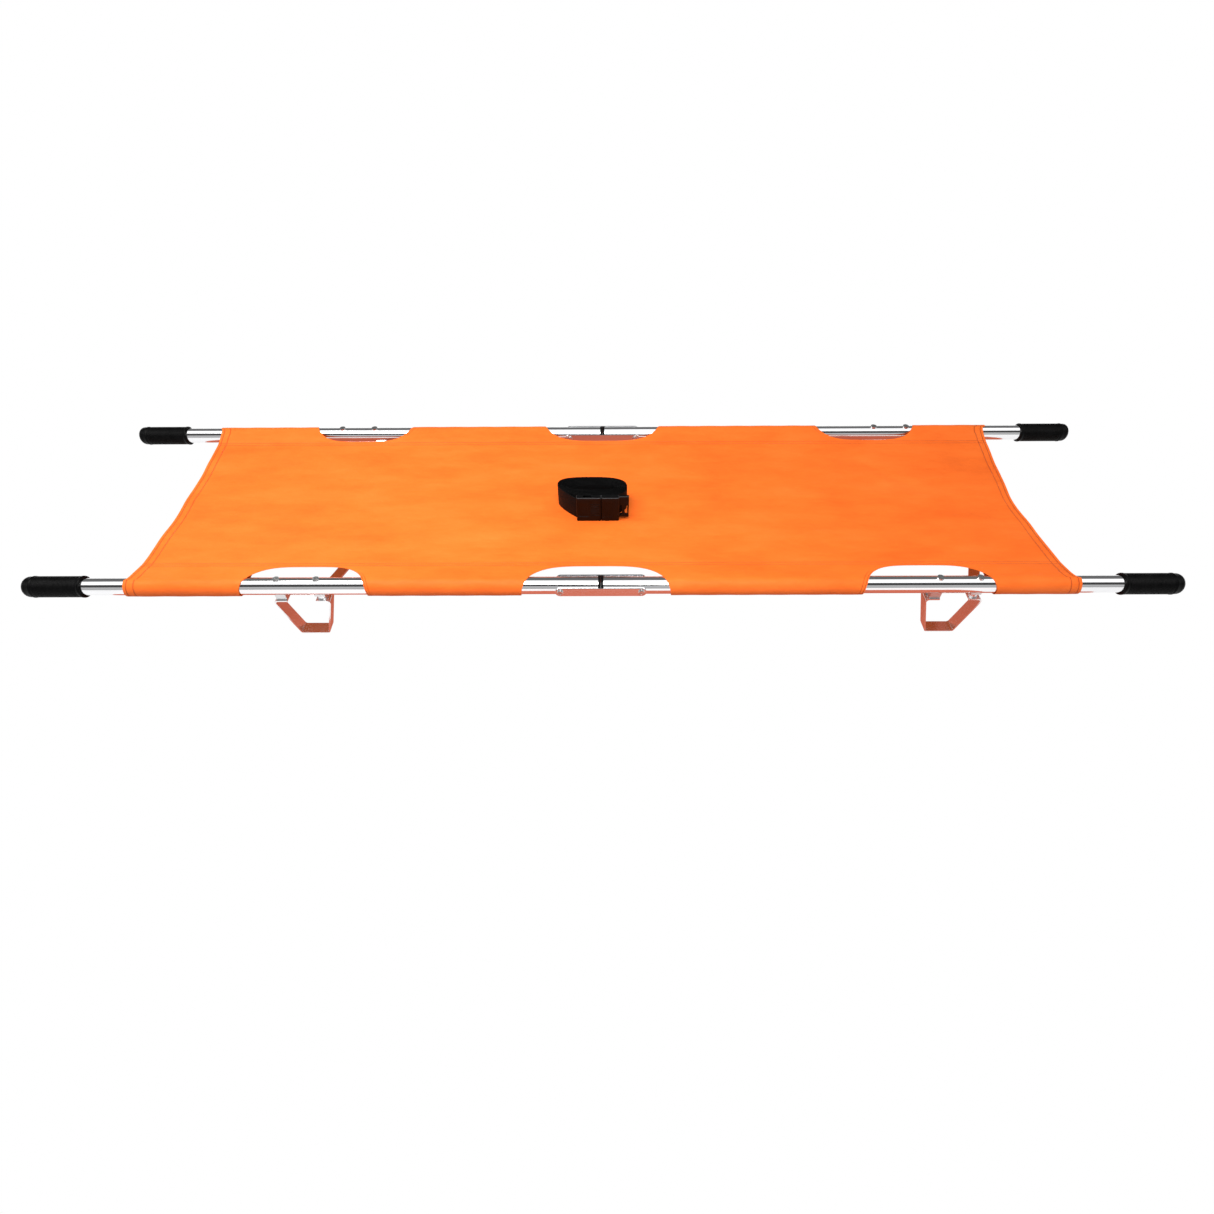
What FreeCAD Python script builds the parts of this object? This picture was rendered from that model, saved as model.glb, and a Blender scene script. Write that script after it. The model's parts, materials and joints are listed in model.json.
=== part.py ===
"""Folding pole stretcher: two hinged poles, D feet, folding spreaders, canvas bed.

X runs along the poles, Y across them and Z up. The origin is on the floor, under the
middle of the bed. Left is -X, front is -Y. Every size is in millimetres.
"""
import FreeCAD, Part
import os
import Sketcher
from FreeCAD import Placement, Rotation, Vector

doc = FreeCAD.newDocument("stretcher")

# ---------------------------------------------------------------- driving sizes
SIZES = {
    # poles
    "overall_length": 2180, "pole_spacing": 500, "axis_height": 122,
    "tube_dia": 33, "tube_wall": 1.5,
    # handles
    "grip_wall": 4.5, "grip_length": 114, "grip_end_wall": 7, "grip_end_round": 13,
    # middle hinges
    "hinge_pitch": 152, "plate_width": 19, "plate_thick": 2.5, "plate_gap": 0.3,
    "pivot_dia": 6, "pivot_head_dia": 12, "pivot_head_height": 3, "pivot_play": 0.05,
    "cross_slot_length": 7, "cross_slot_width": 1.2, "cross_slot_depth": 1.4,
    # rubber buffers between the tube ends
    "buffer_thick": 4.8, "buffer_gap": 0.4, "buffer_plug": 16, "buffer_relief": 0.4,
    # feet
    "left_foot_from_end": 518, "right_foot_from_end": 418, "bolt_pitch": 75,
    "foot_shoulder": 19, "foot_base": 56, "strip_width": 25, "strip_thick": 3,
    "flange_length": 29, "bend_outer": 8, "bend_inner": 5,
    # foot bolts and what they clamp
    "bolt_dia": 6, "bolt_head_dia": 13, "bolt_head_height": 3, "saddle_height": 2,
    "saddle_size": 20, "nut_dia": 11.5, "nut_height": 5, "bolt_end": 3,
    # spreaders
    "arm_width": 20, "arm_thick": 4, "arm_play": 0.3, "spread_angle": 20,
    "rivet_dia": 6, "rivet_head_dia": 12, "rivet_head_height": 2.5,
    # canvas
    "bare_pole": 81, "canvas_thick": 1.2, "sleeve_play": 0.2, "hinge_cutout": 268,
    "left_cutout_inward": 127, "left_cutout_outward": 96,
    "right_cutout_inward": 174, "right_cutout_outward": 56, "cutout_depth": 44,
    "sheet_gap": 2, "sleeve_to_bed": 0.4,
    # restraint strap, rolled up and standing on its edge on the bed
    "strap_x": -18, "strap_y": -17, "strap_length": 148, "strap_depth": 74,
    "strap_height": 50, "strap_round": 24, "front_taper": 39, "back_taper": 24,
    "strap_tip": 6, "strap_lift": 0.4,
    # side-release buckle on the strap
    "buckle_height": 60, "buckle_thick": 12, "socket_length": 50, "socket_wall": 2.6,
    "plug_length": 33, "ladder_length": 23, "ladder_thick": 6, "buckle_play": 0.3,
    "prong_end_gap": 12.8, "prong_height": 10, "ladder_slot": 6, "ladder_slot_height": 20,
    "strap_seat": 0.3,
}

sheet = doc.addObject("Spreadsheet::Sheet", "dims")
for row, (alias, size) in enumerate(SIZES.items(), start=1):
    sheet.set(f"A{row}", alias)
    sheet.set(f"B{row}", str(size))
    sheet.setAlias(f"B{row}", alias)
doc.recompute()

# Sizes worked out from the driving ones, as expressions for the objects to use.
TUBE_R = "dims.tube_dia / 2"
BORE_R = "(dims.tube_dia / 2 - dims.tube_wall)"
HALF_PITCH = "dims.hinge_pitch / 2"
TUBE_START = "(dims.buffer_gap / 2 + dims.buffer_thick)"
TUBE_STOP = "(dims.overall_length / 2 - dims.grip_end_wall)"
ARM_LENGTH = "(dims.pole_spacing / 2 / cos(dims.spread_angle * 1 deg))"
KNEE_REACH = "(dims.pole_spacing / 2 * tan(dims.spread_angle * 1 deg))"
PLATE_INNER = "(dims.tube_dia / 2 + dims.plate_gap)"
HOLE_R = "(dims.bolt_dia / 2 + dims.pivot_play)"
SLEEVE_IN = "(dims.tube_dia / 2 + dims.sleeve_play)"
SLEEVE_OUT = f"({SLEEVE_IN} + dims.canvas_thick)"
GRIP_R = "(dims.tube_dia / 2 + dims.grip_wall)"
BED_END = "(dims.overall_length / 2 - dims.grip_length - dims.bare_pole)"

# Heights above the floor, from the pole's axis down to the foot's flange.
AXIS = "dims.axis_height"
SADDLE_Z = f"({AXIS} - {TUBE_R} - dims.saddle_height)"
ARM_TOP = {"front": f"({SADDLE_Z} - dims.arm_play)"}
ARM_TOP["rear"] = f"({ARM_TOP['front']} - dims.arm_thick - dims.arm_play)"
FLANGE_Z = f"({ARM_TOP['rear']} - dims.arm_thick - dims.arm_play)"
NUT_Z = f"({FLANGE_Z} - dims.strip_thick)"
SHEET_Z = f"({AXIS} - dims.canvas_thick / 2)"
STRAP_Z = f"({SHEET_Z} + dims.canvas_thick + dims.strap_lift)"

SIDES = {"front": -1, "rear": 1}
HALVES = {"left": -1, "right": 1}
# The bolt that carries a spreader arm: the inner one on the left, the outer on the right.
ARM_BOLT = {"left": -1, "right": 1}
AXIS_TURN = {
    "x": Rotation(Vector(0, 1, 0), 90),
    "y": Rotation(Vector(1, 0, 0), -90),
    "z": Rotation(),
}

nodes = []


def node(obj, name):
    """Name a finished sub-part; its label is its file's name."""
    obj.Label = name
    nodes.append(obj)
    return obj


def side_y(side):
    return f"{SIDES[side]} * dims.pole_spacing / 2"


def foot_place(half):
    """Distance of a foot's middle from the middle of the bed."""
    return f"(dims.overall_length / 2 - dims.{half}_foot_from_end)"


def foot_x(half):
    return f"{HALVES[half]} * {foot_place(half)}"


def foot_cutout(half):
    """How far from the middle of the bed a foot's cut-out starts and stops."""
    middle = foot_place(half)
    return f"({middle} - dims.{half}_cutout_inward)", f"({middle} + dims.{half}_cutout_outward)"


def bolt_x(half, out):
    """Place of one foot bolt; out is 1 for the bolt nearer the handle, else -1."""
    return f"{HALVES[half]} * ({foot_place(half)} + {out} * dims.bolt_pitch / 2)"


# ---------------------------------------------------------------- small builders
def place(obj, x, y, z, turn=None):
    if turn is not None:
        obj.Placement = Placement(Vector(), turn)
    for axis, where in zip("xyz", (x, y, z)):
        obj.setExpression(f"Placement.Base.{axis}", str(where))
    return obj


def cylinder(name, radius, length, x, y, z, along="z"):
    obj = doc.addObject("Part::Cylinder", name)
    obj.setExpression("Radius", radius)
    obj.setExpression("Height", length)
    return place(obj, x, y, z, AXIS_TURN[along])


def box(name, length, width, height, x, y, z, turn=None):
    obj = doc.addObject("Part::Box", name)
    for side, size in zip(("Length", "Width", "Height"), (length, width, height)):
        obj.setExpression(side, size)
    return place(obj, x, y, z, turn)


def fuse(name, shapes):
    obj = doc.addObject("Part::MultiFuse", name)
    obj.Shapes = shapes
    obj.Refine = True
    return obj


def cut(name, base, *tools):
    obj = doc.addObject("Part::Cut", name)
    obj.Base = base
    obj.Tool = tools[0] if len(tools) == 1 else fuse(name + "_tools", list(tools))
    return obj


def group(name, shapes):
    obj = doc.addObject("Part::Compound", name)
    obj.Links = shapes
    return obj


def plane_of(body, role):
    return next(f for f in body.Origin.OriginFeatures if f.Role == role)


def outline(body, role, corners):
    """A closed sketch of straight sides, each corner bound to two expressions."""
    sketch = body.newObject("Sketcher::SketchObject", body.Name + "_sketch")
    sketch.AttachmentSupport = (plane_of(body, role), "")
    sketch.MapMode = "FlatFace"
    points = [Vector(number(u), number(v), 0) for u, v in corners]
    count = len(points)
    for i in range(count):
        sketch.addGeometry(Part.LineSegment(points[i], points[(i + 1) % count]), False)
    for i in range(count):
        sketch.addConstraint(Sketcher.Constraint("Coincident", i, 2, (i + 1) % count, 1))
    for i, (u, v) in enumerate(corners):
        for kind, want, start in (("DistanceX", u, points[i].x), ("DistanceY", v, points[i].y)):
            index = sketch.addConstraint(Sketcher.Constraint(kind, -1, 1, i, 1, start))
            sketch.setExpression(f"Constraints[{index}]", want)
    return sketch


def number(expression):
    """The value an expression has now, in millimetres."""
    probe.setExpression("Width", f"{expression} + {PROBE_SHIFT}")
    probe.recompute()
    return probe.Width.Value - PROBE_SHIFT


PROBE_SHIFT = 10000
probe = doc.addObject("Part::Box", "probe")


def padded(name, role, corners, thick):
    """A body padded from an outline, half its thickness to each side of the plane."""
    body = doc.addObject("PartDesign::Body", name)
    sketch = outline(body, role, corners)
    pad = body.newObject("PartDesign::Pad", name + "_pad")
    pad.Profile = sketch
    pad.setExpression("Length", thick)
    pad.Midplane = True
    sketch.Visibility = False
    doc.recompute()
    return body


def crossing_edges(body, spots):
    """Names of the edges that cross the sketch's plane at the given spots."""
    return [
        f"Edge{i}" for i, edge in enumerate(body.Shape.Edges, start=1)
        if any(((edge.Vertexes[0].Point + edge.Vertexes[-1].Point) * 0.5 - spot).Length < TOUCH
               for spot in spots)
    ]


def round_edges(body, radius, spots):
    """Round the edges that cross the body's sketch plane at the given spots."""
    base, names = body.Tip, crossing_edges(body, spots)
    fillet = body.newObject("PartDesign::Fillet", body.Name + "_round")
    fillet.Base = (base, names)
    fillet.setExpression("Radius", radius)
    body.Tip = fillet
    doc.recompute()
    return body


TOUCH = 0.01


def flat_bar(name, pitch, width, thick, first_hole, last_hole, x, y, z, turn):
    """A round-ended bar with a hole at each end, lying along its own X from its first hole."""
    ends = [
        cylinder(f"{name}_end_{i}", f"{width} / 2", thick, where, 0, 0)
        for i, where in enumerate(("0", pitch))
    ]
    middle = box(name + "_middle", pitch, width, thick, 0, f"-{width} / 2", 0)
    blank = fuse(name + "_blank", [middle] + ends)
    holes = [
        cylinder(f"{name}_hole_{i}", radius, f"{thick} * 3", where, 0, f"-{thick}")
        for i, (where, radius) in enumerate((("0", first_hole), (pitch, last_hole)))
    ]
    return place(cut(name, blank, *holes), x, y, z, turn)


# ---------------------------------------------------------------- poles
def make_tube(side, half):
    """Half a pole, cross-drilled for the hinge pivot and for the two foot bolts."""
    name = f"{side}_{half}_tube"
    s, y = HALVES[half], side_y(side)
    start = TUBE_START if s > 0 else f"-{TUBE_STOP}"
    length = f"{TUBE_STOP} - {TUBE_START}"
    skin = cylinder(name + "_skin", TUBE_R, length, start, y, AXIS, "x")
    bore = cylinder(name + "_bore", BORE_R, length, start, y, AXIS, "x")
    pivot = cylinder(
        name + "_pivot", "dims.pivot_dia / 2 + dims.pivot_play", "dims.tube_dia * 2",
        f"{s} * {HALF_PITCH}", f"{y} - dims.tube_dia", AXIS, "y",
    )
    bolts = [
        cylinder(f"{name}_bolt_{out + 1}", HOLE_R, "dims.tube_dia * 2",
                 bolt_x(half, out), y, f"{AXIS} - dims.tube_dia")
        for out in (-1, 1)
    ]
    node(cut(name, skin, bore, pivot, *bolts), name)


def make_grip(side, half):
    """A rubber handle with a rounded end, closed over the end of the tube."""
    name = f"{side}_{half}_grip"
    body = doc.addObject("PartDesign::Body", name)
    stop = "dims.grip_length"
    floor = "(dims.grip_length - dims.grip_end_wall)"
    outer = GRIP_R
    corners = [("0", TUBE_R), (floor, TUBE_R), (floor, "0"), (stop, "0"), (stop, outer), ("0", outer)]
    sketch = outline(body, "XY_Plane", corners)
    turned = body.newObject("PartDesign::Revolution", name + "_turned")
    turned.Profile = sketch
    turned.ReferenceAxis = (sketch, ["H_Axis"])
    turned.Angle = 360
    sketch.Visibility = False
    doc.recompute()
    rim = next(
        f"Edge{i}" for i, edge in enumerate(body.Shape.Edges, start=1)
        if edge.BoundBox.XLength < TOUCH and edge.BoundBox.XMax > number(stop) - TOUCH
        and edge.BoundBox.YMax > number(outer) - TOUCH
    )
    rounded = body.newObject("PartDesign::Fillet", name + "_rounded")
    rounded.Base = (turned, [rim])
    rounded.setExpression("Radius", "dims.grip_end_round")
    body.Tip = rounded
    s = HALVES[half]
    where = f"{s} * (dims.overall_length / 2 - dims.grip_length)"
    place(body, where, side_y(side), AXIS, Rotation(Vector(0, 0, 1), 0 if s > 0 else 180))
    node(body, name)


def make_buffer(side, half):
    """A rubber plug in the tube's inner end. Its flange butts against the other half's
    above the axis, and is cut back below it so that the pole can fold downwards."""
    name = f"{side}_{half}_buffer"
    s, y = HALVES[half], side_y(side)
    near, pivot = "dims.buffer_gap / 2", f"{s} * {HALF_PITCH}"
    flange_x = near if s > 0 else f"-{TUBE_START}"
    plug_x = TUBE_START if s > 0 else f"-{TUBE_START} - dims.buffer_plug"
    flange = cylinder(name + "_flange", TUBE_R, "dims.buffer_thick", flange_x, y, AXIS, "x")
    plug = cylinder(name + "_plug", BORE_R, "dims.buffer_plug", plug_x, y, AXIS, "x")
    below = box(name + "_below", "dims.tube_dia", "dims.tube_dia * 2", "dims.tube_dia",
                0 if s > 0 else "-dims.tube_dia", f"{y} - dims.tube_dia", f"{AXIS} - dims.tube_dia")
    swing = cylinder(name + "_swing", f"{HALF_PITCH} - dims.buffer_relief", "dims.tube_dia * 2",
                     pivot, f"{y} - dims.tube_dia", AXIS, "y")
    relief = cut(name + "_relief", below, swing)
    node(cut(name, fuse(name + "_blank", [flange, plug]), relief), name)


# ---------------------------------------------------------------- middle hinges
def make_hinge(side):
    """Two side plates joined by two pivots, one pivot through each half of the pole."""
    y = side_y(side)
    pivot_r = "dims.pivot_dia / 2"
    for place_word, face in (("outer", SIDES[side]), ("inner", -SIDES[side])):
        name = f"{side}_{place_word}_plate"
        inner = f"({y} + {face} * {PLATE_INNER})"
        start = f"({inner} + dims.plate_thick)" if face > 0 else inner
        plate = flat_bar(
            name, "dims.hinge_pitch", "dims.plate_width", "dims.plate_thick", pivot_r, pivot_r,
            f"-{HALF_PITCH}", start, AXIS, Rotation(Vector(1, 0, 0), 90),
        )
        node(plate, name)
    reach = f"({PLATE_INNER} + dims.plate_thick)"
    tip = f"({reach} + dims.pivot_head_height)"
    pivots = []
    for half, s in HALVES.items():
        name, x = f"{side}_{half}_pivot", f"{s} * {HALF_PITCH}"
        shank = cylinder(name + "_shank", pivot_r, f"2 * {reach}", x, f"{y} - {reach}", AXIS, "y")
        heads = [
            cylinder(f"{name}_head_{i}", "dims.pivot_head_dia / 2", "dims.pivot_head_height",
                     x, f"{y} + {start}", AXIS, "y")
            for i, start in enumerate((f"-1 * {tip}", reach))
        ]
        slots = [
            box(f"{name}_slot_{i}_{turn}", "dims.cross_slot_length", "dims.cross_slot_depth",
                "dims.cross_slot_width",
                f"{x} - dims.cross_slot_{across} / 2", f"{y} + {start}",
                f"{AXIS} + dims.cross_slot_{up} / 2 * {lift}",
                Rotation(Vector(0, 1, 0), turn))
            for i, start in enumerate((f"-1 * {tip}", f"{tip} - dims.cross_slot_depth"))
            for turn, across, up, lift in ((0, "length", "width", -1), (90, "width", "length", 1))
        ]
        pivots.append(cut(name, fuse(name + "_blank", [shank] + heads), *slots))
    node(group(f"{side}_pivots", pivots), f"{side}_pivots")


# ---------------------------------------------------------------- feet
def make_foot(side, half):
    """A foot bent from flat strip: a flat base, two legs that spread upwards, and two
    flanges turned in under the pole."""
    name = f"{side}_{half}_foot"
    wide, base = "(dims.bolt_pitch / 2 + dims.foot_shoulder)", "dims.foot_base / 2"
    tip = f"({wide} - dims.flange_length)"
    thick, top = "dims.strip_thick", FLANGE_Z
    under = f"({top} - {thick})"
    slope = f"(({wide} - {base}) / {top})"
    shift = f"({thick} * sqrt(1 + {slope} ^ 2))"
    knee = f"({wide} - {thick} * {slope} - {shift})"
    heel = f"({base} + {thick} * {slope} - {shift})"
    right_side = [(tip, under), (tip, top), (wide, top), (base, "0")]
    inside = [(heel, thick), (knee, under)]
    corners = (
        right_side + [(f"-{u}", v) for u, v in reversed(right_side)]
        + [(f"-{u}", v) for u, v in reversed(inside)] + inside
    )
    body = padded(name + "_strip", "XZ_Plane", corners, "dims.strip_width")
    spots = [Vector(number(u), 0, number(v)) for u, v in corners]
    round_edges(body, "dims.bend_outer", [spots[i] for i in (2, 3, 4, 5)])
    round_edges(body, "dims.bend_inner", [spots[i] for i in (8, 9, 10, 11)])
    place(body, foot_x(half), side_y(side), 0)
    holes = [
        cylinder(f"{name}_hole_{out + 1}", HOLE_R, "dims.strip_thick * 4",
                 bolt_x(half, out), side_y(side), f"{top} - dims.strip_thick * 2")
        for out in (-1, 1)
    ]
    node(cut(name, body, *holes), name)


def make_foot_fasteners(side, half):
    """Bolts down through the pole, the packing between pole and foot, and the nuts."""
    y = side_y(side)
    bolts, packing, nuts = [], [], []
    for out in (-1, 1):
        name, x = f"{side}_{half}_{'outer' if out > 0 else 'inner'}", bolt_x(half, out)
        foot = f"({NUT_Z} - dims.nut_height - dims.bolt_end)"
        tip = f"({AXIS} + {TUBE_R} + dims.bolt_head_height)"
        shank = cylinder(name + "_shank", "dims.bolt_dia / 2", f"{tip} - {foot}", x, y, foot)
        head = cylinder(name + "_head", "dims.bolt_head_dia / 2", "dims.bolt_head_height * 2",
                        x, y, f"{AXIS} + {TUBE_R} - dims.bolt_head_height")
        pole = cylinder(name + "_seat", TUBE_R, "dims.bolt_head_dia * 2",
                        f"{x} - dims.bolt_head_dia", y, AXIS, "x")
        bolts.append(fuse(name + "_bolt", [cut(name + "_cap", head, pole), shank]))

        block_z = SADDLE_Z if out == ARM_BOLT[half] else FLANGE_Z
        if out == ARM_BOLT[half] and side == "rear":
            block_z = f"({ARM_TOP['rear']} + dims.arm_play)"
        block_end = f"({AXIS} - {TUBE_R} / 2)"
        block = box(name + "_block", "dims.saddle_size", "dims.saddle_size",
                    f"{block_end} - {block_z}", f"{x} - dims.saddle_size / 2",
                    f"{y} - dims.saddle_size / 2", block_z)
        body = cylinder(name + "_pole", TUBE_R, "dims.saddle_size * 2",
                        f"{x} - dims.saddle_size", y, AXIS, "x")
        drill = cylinder(name + "_drill", HOLE_R, "dims.tube_dia", x, y, f"{AXIS} - dims.tube_dia * 1.2")
        packing.append(cut(name + "_packing", block, body, drill))
        if out == ARM_BOLT[half] and side == "front":
            ring = cylinder(name + "_ring", "dims.saddle_size / 2",
                            f"{ARM_TOP['rear']} - {FLANGE_Z}", x, y, FLANGE_Z)
            ring_hole = cylinder(name + "_ring_hole", HOLE_R, "dims.tube_dia", x, y,
                                 f"{FLANGE_Z} - dims.tube_dia / 2")
            packing.append(cut(name + "_washer", ring, ring_hole))

        nut = doc.addObject("Part::Prism", name + "_nut_blank")
        nut.Polygon = 6
        nut.setExpression("Circumradius", "dims.nut_dia / 2")
        nut.setExpression("Height", "dims.nut_height")
        place(nut, x, y, f"{NUT_Z} - dims.nut_height", Rotation(Vector(0, 0, 1), 30))
        thread = cylinder(name + "_thread", "dims.bolt_dia / 2", "dims.nut_height * 3",
                          x, y, f"{NUT_Z} - dims.nut_height * 2")
        nuts.append(cut(name + "_nut", nut, thread))
    for word, shapes in (("bolts", bolts), ("packing", packing), ("nuts", nuts)):
        name = f"{side}_{half}_{word}"
        node(group(name, shapes), name)


# ---------------------------------------------------------------- spreaders
def make_spreader(half):
    """Two flat arms joined at a knee. The rear arm runs just under the front one, and
    the knee points to +X on both halves, so that the folded halves keep clear."""
    x = bolt_x(half, ARM_BOLT[half])
    knee_x = f"{x} + {KNEE_REACH}"
    for side in SIDES:
        name = f"{half}_{side}_arm"
        knee_hole = "dims.rivet_dia / 2" if side == "front" else "(dims.rivet_dia / 2 + dims.pivot_play)"
        bottom = f"{ARM_TOP[side]} - dims.arm_thick"
        towards_knee = Rotation(Vector(0, 0, -SIDES[side]), 90 - SIZES["spread_angle"])
        arm = flat_bar(name, ARM_LENGTH, "dims.arm_width", "dims.arm_thick", HOLE_R,
                       knee_hole, x, side_y(side), bottom, towards_knee)
        arm.setExpression("Placement.Rotation.Angle", "(90 - dims.spread_angle) * 1 deg")
        node(arm, name)
    name = f"{half}_knee_rivet"
    low = f"({ARM_TOP['rear']} - dims.arm_thick)"
    shank = cylinder(name + "_shank", "dims.rivet_dia / 2", f"{ARM_TOP['front']} - {low}", knee_x, 0, low)
    top = cylinder(name + "_top", "dims.rivet_head_dia / 2", "dims.rivet_head_height",
                   knee_x, 0, ARM_TOP["front"])
    # the lower head stands off the rear arm by the play between the arms
    foot = cylinder(name + "_foot", "dims.rivet_head_dia / 2", "dims.rivet_head_height",
                    knee_x, 0, f"{low} - dims.arm_play - dims.rivet_head_height")
    neck = cylinder(name + "_neck", "dims.rivet_dia / 2", "dims.arm_play * 2", knee_x, 0,
                    f"{low} - dims.arm_play")
    node(fuse(name, [shank, top, foot, neck]), name)


# ---------------------------------------------------------------- canvas
def make_sleeves(side, half):
    """The canvas tunnels that hold the pole, one each side of the cut-out at the foot."""
    s, y = HALVES[half], side_y(side)
    cutout_start, cutout_stop = foot_cutout(half)
    spans = {
        "inner": ("dims.hinge_cutout / 2", cutout_start),
        "end": (cutout_stop, BED_END),
    }
    for word, (near, far) in spans.items():
        name = f"{side}_{half}_{word}_sleeve"
        start = near if s > 0 else f"-{far}"
        length = f"{far} - {near}"
        skin = cylinder(name + "_skin", SLEEVE_OUT, length, start, y, AXIS, "x")
        bore = cylinder(name + "_bore", SLEEVE_IN, length, start, y, AXIS, "x")
        node(cut(name, skin, bore), name)


def cutout(name, middle, width, side):
    """A round cutter that bites one cut-out, as wide as given at the pole's centre line."""
    edge = "(dims.pole_spacing / 2)"
    radius = f"(({width}) ^ 2 / 4 + dims.cutout_depth ^ 2) / (2 * dims.cutout_depth)"
    centre = f"{SIDES[side]} * ({edge} - dims.cutout_depth + {radius})"
    return cylinder(name, radius, "dims.canvas_thick * 3", middle, centre,
                    f"{SHEET_Z} - dims.canvas_thick")


def make_bed():
    """The bed at the height of the pivots, parted at the two pivot lines, so that its
    left, middle and right fold with the poles."""
    width = f"dims.pole_spacing - 2 * ({SLEEVE_OUT} + dims.sleeve_to_bed)"
    gap = "dims.sheet_gap / 2"
    spans = {
        "left": (f"-{BED_END}", f"-{HALF_PITCH} - {gap}"),
        "middle": (f"-{HALF_PITCH} + {gap}", f"{HALF_PITCH} - {gap}"),
        "right": (f"{HALF_PITCH} + {gap}", BED_END),
    }
    for part, (start, stop) in spans.items():
        name = f"bed_{part}"
        blank = box(name + "_blank", f"({stop}) - ({start})", width, "dims.canvas_thick",
                    start, f"-({width}) / 2", SHEET_Z)
        bites = []
        for side in SIDES:
            bites.append(cutout(f"{name}_{side}_hinge_bite", 0, "dims.hinge_cutout", side))
            if part in HALVES:
                near, far = foot_cutout(part)
                bites.append(cutout(f"{name}_{side}_foot_bite", f"{HALVES[part]} * ({near} + {far}) / 2",
                                    f"{far} - {near}", side))
        node(cut(name, blank, *bites), name)


# ---------------------------------------------------------------- strap
def make_strap():
    """The strap's roll, and a side-release buckle standing on edge against its front."""
    half, deep = "dims.strap_length / 2", "dims.strap_depth / 2"
    corners = [
        (f"-{half} + dims.front_taper", f"-{deep}"), (half, f"-{deep}"), (half, deep),
        (f"-{half} + dims.back_taper", deep), (f"-{half}", "dims.strap_tip"),
    ]
    body = padded("strap_roll", "XY_Plane", corners, "dims.strap_height")
    spots = [Vector(number(u), number(v), 0) for u, v in corners]
    round_edges(body, "dims.strap_round", [spots[2], spots[3]])
    place(body, "dims.strap_x", "dims.strap_y", f"{STRAP_Z} + dims.strap_height / 2")
    node(body, "strap_roll")

    front = "(dims.strap_y - dims.strap_depth / 2 - dims.strap_seat)"
    start = "(dims.strap_x - dims.strap_length / 2 + dims.front_taper + dims.socket_wall)"
    wall, play = "dims.socket_wall", "dims.buckle_play"
    tall, thick = "dims.buckle_height", "dims.buckle_thick"
    back = f"{front} - {thick}"
    shell = box("socket_shell", "dims.socket_length", thick, tall, start, back, STRAP_Z)
    hollow = box("socket_hollow", "dims.socket_length", f"{thick} - 2 * {wall}", f"{tall} - 2 * {wall}",
                 f"{start} + {wall} * 2", f"{back} + {wall}", f"{STRAP_Z} + {wall}")
    node(cut("buckle_socket", shell, hollow), "buckle_socket")

    # the plug's three prongs reach into the socket's hollow with play all round
    mouth = f"({start} + dims.socket_length)"
    base = box("plug_base", "dims.plug_length", thick, tall, f"{mouth} + {play}", back, STRAP_Z)
    inside = f"({tall} - 2 * {wall} - 2 * {play})"
    reach = f"(dims.socket_length - 2 * {wall} - dims.prong_end_gap)"
    prong_y, prong_thick = f"{back} + {wall} + {play}", f"{thick} - 2 * {wall} - 2 * {play}"
    prongs = [
        box(f"plug_prong_{i}", f"{reach} + {play}", prong_thick, "dims.prong_height",
            f"{mouth} - {reach}", prong_y,
            f"{STRAP_Z} + {wall} + {play} + ({inside} - dims.prong_height) * {share}")
        for i, share in enumerate((0, 0.5, 1))
    ]
    ladder_x = f"({mouth} + {play} + dims.plug_length)"
    ladder = box("plug_ladder", "dims.ladder_length", "dims.ladder_thick", tall, ladder_x,
                 f"{front} - dims.ladder_thick", STRAP_Z)
    slots = [
        box(f"plug_slot_{i}", "dims.ladder_slot", "dims.ladder_thick * 3", "dims.ladder_slot_height",
            f"{ladder_x} + dims.ladder_length * {share} - dims.ladder_slot / 2",
            f"{front} - dims.ladder_thick * 2", f"{STRAP_Z} + dims.ladder_slot")
        for i, share in enumerate((0.3, 0.7))
    ]
    node(cut("buckle_plug", fuse("plug_blank", [base, ladder] + prongs), *slots), "buckle_plug")


for side in SIDES:
    for half in HALVES:
        make_tube(side, half)
        make_grip(side, half)
        make_buffer(side, half)
        make_foot(side, half)
        make_foot_fasteners(side, half)
        make_sleeves(side, half)
    make_hinge(side)
for half in HALVES:
    make_spreader(half)
make_bed()
make_strap()
doc.removeObject(probe.Name)
doc.recompute()

# ---------------------------------------------------------------- check and write
for obj in doc.Objects:
    if any(word in obj.State for word in ("Invalid", "Error")):
        raise RuntimeError(f"{obj.Name} did not rebuild: {obj.State}")
for obj in nodes:
    if obj.Shape.isNull() or not obj.Shape.isValid():
        raise RuntimeError(f"{obj.Label} has no valid shape")
os.makedirs("parts", exist_ok=True)
for obj in nodes:
    obj.Shape.exportStep(f"parts/{obj.Label}.step")
    print(f"{obj.Label}: {len(obj.Shape.Solids)} solid(s), {obj.Shape.Volume:.0f} mm3")
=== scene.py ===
"""Folding pole stretcher: canvas, strap, handles, finishes, lights and camera round the frame.

Metres throughout. X runs along the poles, Y across them and Z up; the floor is z = 0.
"""
import json
import math

import bmesh
import bpy
import numpy as np
from mathutils import Matrix, Vector


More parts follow.
